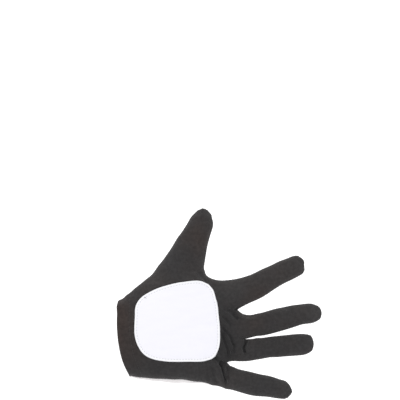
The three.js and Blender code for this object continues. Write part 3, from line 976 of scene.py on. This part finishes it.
def thread_end(cloth, find, at, long, bend, curl, radius, rise, sunk):
    """A short loose end of the patch's thread."""
    start = cloth.fabric[np.argmin(lengths(cloth.points[:, :2] - at))]
    shares = np.linspace(0, 1, LOOSE_END_STEPS)
    line = start + np.column_stack([long * shares, bend * np.sin(math.pi * curl * shares)])
    places, ways = find(line)
    lift = LOOSE_END_OFF + rise * np.sin(math.pi * shares) - sunk * (shares == 0)
    return tubes([places + ways * lift[:, None]], [ways], radius)


# Materials. Sizes are in millimetres

# The dark and light tints carry the knit's uneven tone, and the dark one also the shade painted into its
# creases
BLACK_TINTS = {
    "plain": (0.034, 0.0325, 0.0335),
    "warm": (0.044, 0.032, 0.0285),
    "dark": (0.0225, 0.0215, 0.0225),
    "light": (0.046, 0.0435, 0.0435),
}
WHITE_TINTS = {
    "plain": (0.86, 0.835, 0.84),
    "warm": (0.87, 0.835, 0.84),
    "dark": (0.84, 0.815, 0.825),
    "light": (0.87, 0.85, 0.85),
}
# The edge tint is a painted highlight along the patch's folded edge
PATCH_TINTS = {"plain": (0.84, 0.835, 0.90), "light": (0.85, 0.845, 0.915), "edge": (0.885, 0.885, 0.92)}
PATCH_EDGE_HIGHLIGHT_END = (2.4, 3.4)  # range over which the painted highlight along its edge fades
THREADS = {
    "black_thread": (0.05, 0.048, 0.05),
    "white_thread": (0.8, 0.78, 0.79),
    "patch_thread": (0.66, 0.66, 0.72),
    "loose_thread": (0.36, 0.34, 0.33),
    "black_cut_edge": (0.036, 0.034, 0.035),
    "white_cut_edge": (0.78, 0.75, 0.76),
}
WALE, COURSE = 0.84, 0.66  # width and height of a stitch of the knit
LEG_SLANT = 1.7  # courses that a stitch's legs rise over its width
LEG_ROUND = 0.6  # its legs are flatter on top the smaller this is
LOOP_DEEP = 0.3  # half the change of its height along a leg
GAP_SHADE_TOP = 0.65  # height of the knit up to which shade is painted into it
FUZZ_RANGE, MOTTLE_RANGE = (0.3, 0.7), (0.35, 0.65)  # parts of the noise that count
KNIT_DRIFTS = table(
    "name size detail low high share",
    ("warm", 26, 2, 0.45, 0.75, 0.25),
    ("dark", 17, 1, 0.5, 0.8, 0.15),
)
MOTTLE_SPOTS, PATCH_SPOTS = 3.2, 22
KNIT_FUZZ, PATCH_FUZZ, FIBRE = 0.5, 0.7, 0.35
NOISE_ROUGH = 0.55
FIBRE_DARK = 0.7  # brightness of a thread's darkest fibres against its own
TWILL_ALONG, TWILL_ACROSS = 0.5, 0.34  # lengths of the patch's weave along the glove and across it
TWILL_HIGHLIGHT = 0.05  # how much highlight is painted on the top of its weave


class Look:
    """A node material with short calls for its nodes. Inputs are numbers, colours or other nodes' outputs."""

    def __init__(self, name):
        self.material = bpy.data.materials.new(name)
        self.material.use_nodes = True
        self.tree = self.material.node_tree
        self.shader = self.tree.nodes["Principled BSDF"]

    def put(self, node, inputs):
        for key, value in inputs.items():
            socket = node.inputs[key]
            if isinstance(value, bpy.types.NodeSocket):
                self.tree.links.new(value, socket)
            elif isinstance(value, tuple) and len(value) == 3:
                socket.default_value = (*value, 1)
            else:
                socket.default_value = value

    def node(self, kind, inputs, output=0, **settings):
        node = self.tree.nodes.new("ShaderNode" + kind)
        for key, value in settings.items():
            setattr(node, key, value)
        self.put(node, inputs)
        return node.outputs[output]

    def math(self, operation, *values):
        return self.node("Math", dict(enumerate(values)), operation=operation)

    def mix(self, share, first, second, blend="MIX"):
        """Colours mixed. A Mix node's colour sockets are its inputs 6 and 7 and its output 2."""
        colours = {0: share, 6: first, 7: second}
        return self.node("Mix", colours, output=2, data_type="RGBA", blend_type=blend)

    def rescale(self, value, low, high, start=0.0, end=1.0):
        """A number from low to high turned into one from start to end, and kept in that range."""
        return self.node("MapRange", {0: value, 1: low, 2: high, 3: start, 4: end})

    def painted(self, name):
        """A number that the mesh holds at each of its points."""
        return self.node("Attribute", {}, output="Fac", attribute_name=name)

    def fabric(self):
        """Fabric coordinates in millimetres: along the glove and across it."""
        place = self.node("UVMap", {}, uv_map="fabric")
        return self.node("SeparateXYZ", {0: place}), self.tree.nodes[-1].outputs[1]

    def clouds(self, size, detail=2):
        """Noise from 0 to 1 with spots of the given size in millimetres."""
        where = self.node("TexCoord", {}, output="Object")
        inputs = {"Vector": where, "Scale": 1 / (size * MM), "Detail": detail, "Roughness": NOISE_ROUGH}
        return self.node("TexNoise", inputs)

    def drift(self, name, size, detail, low, high, share):
        """A number that the mesh holds, and up to a share more where noise lies above low."""
        spots = self.rescale(self.clouds(size, detail), low, high)
        return self.math("MULTIPLY_ADD", spots, share, self.painted(name))

    def bump(self, height, distance, strength=1.0, normal=None):
        inputs = {"Height": height, "Distance": distance * MM, "Strength": strength}
        if normal:
            inputs["Normal"] = normal
        return self.node("Bump", inputs)


def jersey(look):
    """The height of a fine jersey knit from 0 to 1: columns of V-shaped stitches along the glove."""
    u, v = look.fabric()
    column = look.math("FRACT", look.math("DIVIDE", v, WALE))
    off_centre = look.math("ABSOLUTE", look.math("SUBTRACT", column, 0.5))
    leg = look.math("MULTIPLY_ADD", off_centre, 4.0, -1.0)
    leg = look.math("SUBTRACT", 1.0, look.math("MULTIPLY", leg, leg))
    row = look.math("MULTIPLY_ADD", off_centre, LEG_SLANT, look.math("DIVIDE", u, COURSE))
    loop = look.math("SINE", look.math("MULTIPLY", row, 2 * math.pi))
    loop = look.math("MULTIPLY_ADD", loop, LOOP_DEEP, 1 - LOOP_DEEP)
    return look.math("MULTIPLY", look.math("POWER", leg, LEG_ROUND), loop)


def knit_material(name, tints, gap_shade_share, mottle, roughness, sheen):
    """Jersey whose tint drifts slowly, mottled by uneven yarn, with painted shade in creases and between
    stitches.
    """
    look = Look(name)
    height = jersey(look)
    warmth, tone_and_crease_shade = (look.drift(**row) for row in KNIT_DRIFTS)
    colour = look.mix(warmth, tints["plain"], tints["warm"])
    # Darker by the knit's uneven tone and by the shade painted into its creases
    colour = look.mix(tone_and_crease_shade, colour, tints["dark"])
    colour = look.mix(look.math("MULTIPLY", tone_and_crease_shade, -1.0), colour, tints["light"])
    # Shade painted between the knit's stitches, then multiplied by the yarn's mottle
    gap_shade = look.rescale(height, 0, GAP_SHADE_TOP, gap_shade_share, 1)
    yarn = look.rescale(look.clouds(MOTTLE_SPOTS, 4), *MOTTLE_RANGE, 1 - mottle, 1 + mottle)
    gap_shade = look.math("MULTIPLY", gap_shade, yarn)
    shade = look.node("CombineColor", {0: gap_shade, 1: gap_shade, 2: gap_shade})
    colour = look.mix(1.0, colour, shade, "MULTIPLY")
    fuzz = look.clouds(KNIT_FUZZ, 3)
    rough = look.rescale(fuzz, *FUZZ_RANGE, roughness - 0.06, roughness + 0.05)
    normal = look.bump(height, distance=0.16, strength=0.8)
    normal = look.bump(fuzz, distance=0.05, strength=0.5, normal=normal)
    look.put(look.shader, {"Base Color": colour, "Roughness": rough, "Normal": normal})
    look.put(look.shader, {"Sheen Weight": sheen, "Sheen Roughness": 0.55, "Specular IOR Level": 0.2})
    return look.material


def patch_material():
    """Smooth satin cloth, with a painted highlight along its folded edge."""
    look = Look("patch_satin")
    u, v = look.fabric()
    across = look.math("MULTIPLY", v, 2 * math.pi / TWILL_ACROSS)
    twill = look.math("MULTIPLY_ADD", u, 2 * math.pi / TWILL_ALONG, across)
    weave = look.math("MULTIPLY_ADD", look.math("SINE", twill), 0.5, 0.5)
    inside = look.rescale(look.painted("from_edge"), *PATCH_EDGE_HIGHLIGHT_END)
    cloth = look.mix(look.clouds(PATCH_SPOTS), PATCH_TINTS["plain"], PATCH_TINTS["light"])
    # A painted highlight along the folded edge, fading inwards
    colour = look.mix(inside, PATCH_TINTS["edge"], cloth)
    # A highlight painted on the top of the weave
    colour = look.mix(look.math("MULTIPLY", weave, TWILL_HIGHLIGHT), colour, (1.0, 1.0, 1.0))
    fuzz = look.clouds(PATCH_FUZZ, 3)
    rough = look.rescale(fuzz, *FUZZ_RANGE, 0.5, 0.62)
    normal = look.bump(weave, distance=0.04, strength=0.5)
    normal = look.bump(fuzz, distance=0.04, strength=0.5, normal=normal)
    look.put(look.shader, {"Base Color": colour, "Roughness": rough, "Normal": normal})
    look.put(look.shader, {"Sheen Weight": 0.1, "Sheen Roughness": 0.4, "Specular IOR Level": 0.3})
    return look.material


def thread_material(name, colour):
    """Spun thread: fine noise in its colour and on its surface."""
    look = Look(name)
    fibres = look.clouds(FIBRE, 3)
    dark = tuple(FIBRE_DARK * channel for channel in colour)
    normal = look.bump(fibres, distance=0.04, strength=0.6)
    look.put(look.shader, {"Base Color": look.mix(fibres, dark, colour), "Normal": normal})
    look.put(look.shader, {"Roughness": 0.7, "Sheen Weight": 0.1})
    return look.material


# Stage: a pale floor, soft light and a camera straight above

FLOOR_HALF = 3.0  # metres
FLOOR_TONE = 0.56
FLOOR_GLOW = 0.82  # the floor is a light table, so that the glove throws almost no shadow on it
SKY_GLOW = 0.96
LAMP = {"at": (-0.7, 0.8, 1.7), "size": 1.4, "power": 9}  # metres and watts
PHOTO_SIDE = 400  # pixels, at 1 mm each
ORIGIN_PIXEL = (219.2, 303.25)  # where the glove's origin is in the photograph
CAMERA_LEVEL = 0.008  # height above the floor that is seen at its true size
LENS, SENSOR = 400, 36


def make_floor():
    mesh = bpy.data.meshes.new("floor")
    corners = [(x * FLOOR_HALF, y * FLOOR_HALF, 0) for x, y in ((-1, -1), (1, -1), (1, 1), (-1, 1))]
    mesh.from_pydata(corners, [], [(0, 1, 2, 3)])
    look = Look("floor")
    tone = (FLOOR_TONE,) * 3
    look.put(look.shader, {"Base Color": tone, "Roughness": 0.9, "Specular IOR Level": 0.1})
    look.put(look.shader, {"Emission Color": (1, 1, 1, 1), "Emission Strength": FLOOR_GLOW})
    mesh.materials.append(look.material)
    floor = add_object("floor", mesh)


def make_light():
    world = bpy.data.worlds.new("studio")
    world.use_nodes = True
    sky = world.node_tree.nodes["Background"].inputs
    sky["Color"].default_value = (1, 1, 1, 1)
    sky["Strength"].default_value = SKY_GLOW
    bpy.context.scene.world = world
    light = bpy.data.lights.new("softbox", "AREA")
    light.size = LAMP["size"]
    light.energy = LAMP["power"]
    lamp = add_object("softbox", light)
    lamp.location = LAMP["at"]
    lamp.rotation_mode = "QUATERNION"
    lamp.rotation_quaternion = (-lamp.location).to_track_quat("-Z", "Y")


def make_camera():
    data = bpy.data.cameras.new("camera")
    data.lens = LENS
    data.sensor_width = SENSOR
    camera = add_object("camera", data)
    middle = PHOTO_SIDE / 2
    distance = PHOTO_SIDE * MM * LENS / SENSOR
    x, y = (middle - ORIGIN_PIXEL[0]) * MM, (ORIGIN_PIXEL[1] - middle) * MM
    camera.location = (x, y, CAMERA_LEVEL + distance)
    bpy.context.scene.camera = camera


# The glove

black = knit_material("black_jersey", BLACK_TINTS, gap_shade_share=0.7, mottle=0.16, roughness=0.9, sheen=0.12)
white = knit_material("white_jersey", WHITE_TINTS, gap_shade_share=0.88, mottle=0.02, roughness=0.86, sheen=0.1)
satin = patch_material()
thread = {name: thread_material(name, colour) for name, colour in THREADS.items()}

patch = cloth_from("hand_patch")
patch_loop = np.append(patch.rim, patch.rim[0])
back = shape_back(patch.points[patch_loop])
palm = shape_palm()
under_patch = shape_patch(patch, back)

# dark holds the knit's uneven tone and the shade painted into its creases
tones = ("dark", "warm")
make_sheet("back_knit", "back_panel", back, inner_face(back), black, "black_knit", tones)
make_sheet("palm_knit", "palm_panel", palm, inner_face(palm), white, "white_knit", tones)
make_sheet(
    "patch_cloth", "hand_patch", patch, under_patch, satin, "patch_fabric", ("from_edge",)
)

find_on_patch = place_finder(patch)
patch_line = inset(patch.fabric[patch_loop], PATCH_STITCH, PATCH_TURN)
stitches = running_stitches(patch_line, find_on_patch, **PATCH_RUN, closed_line=True)
make_piece("patch_stitches", *stitches, thread["patch_thread"], "patch_fabric")
loose_end = thread_end(patch, find_on_patch, **LOOSE_END)
make_piece("patch_thread_end", *loose_end, thread["loose_thread"], "patch_fabric")

for name, cloth, colour in (("hem_stitches_back", back, "black"), ("hem_stitches_palm", palm, "white")):
    line = inset(cloth.fabric[cloth.cuff], HEM_STITCH, HEM_TURN)
    stitches = running_stitches(line, place_finder(cloth), **HEM_RUN)
    make_piece(name, *stitches, thread[colour + "_thread"], colour + "_knit")

make_piece("seam_stitches", *seam_stitches(back), thread["black_thread"], "black_knit")
for name, side, colour in (("seam_edge_back", 1, "black"), ("seam_edge_palm", -1, "white")):
    make_piece(name, *seam_edge(back, side), thread[colour + "_cut_edge"], colour + "_knit")
make_piece("seam_overlock", *overlock(back), thread["white_thread"], "white_knit")

make_floor()
make_light()
make_camera()
bpy.context.scene.view_settings.view_transform = "Standard"
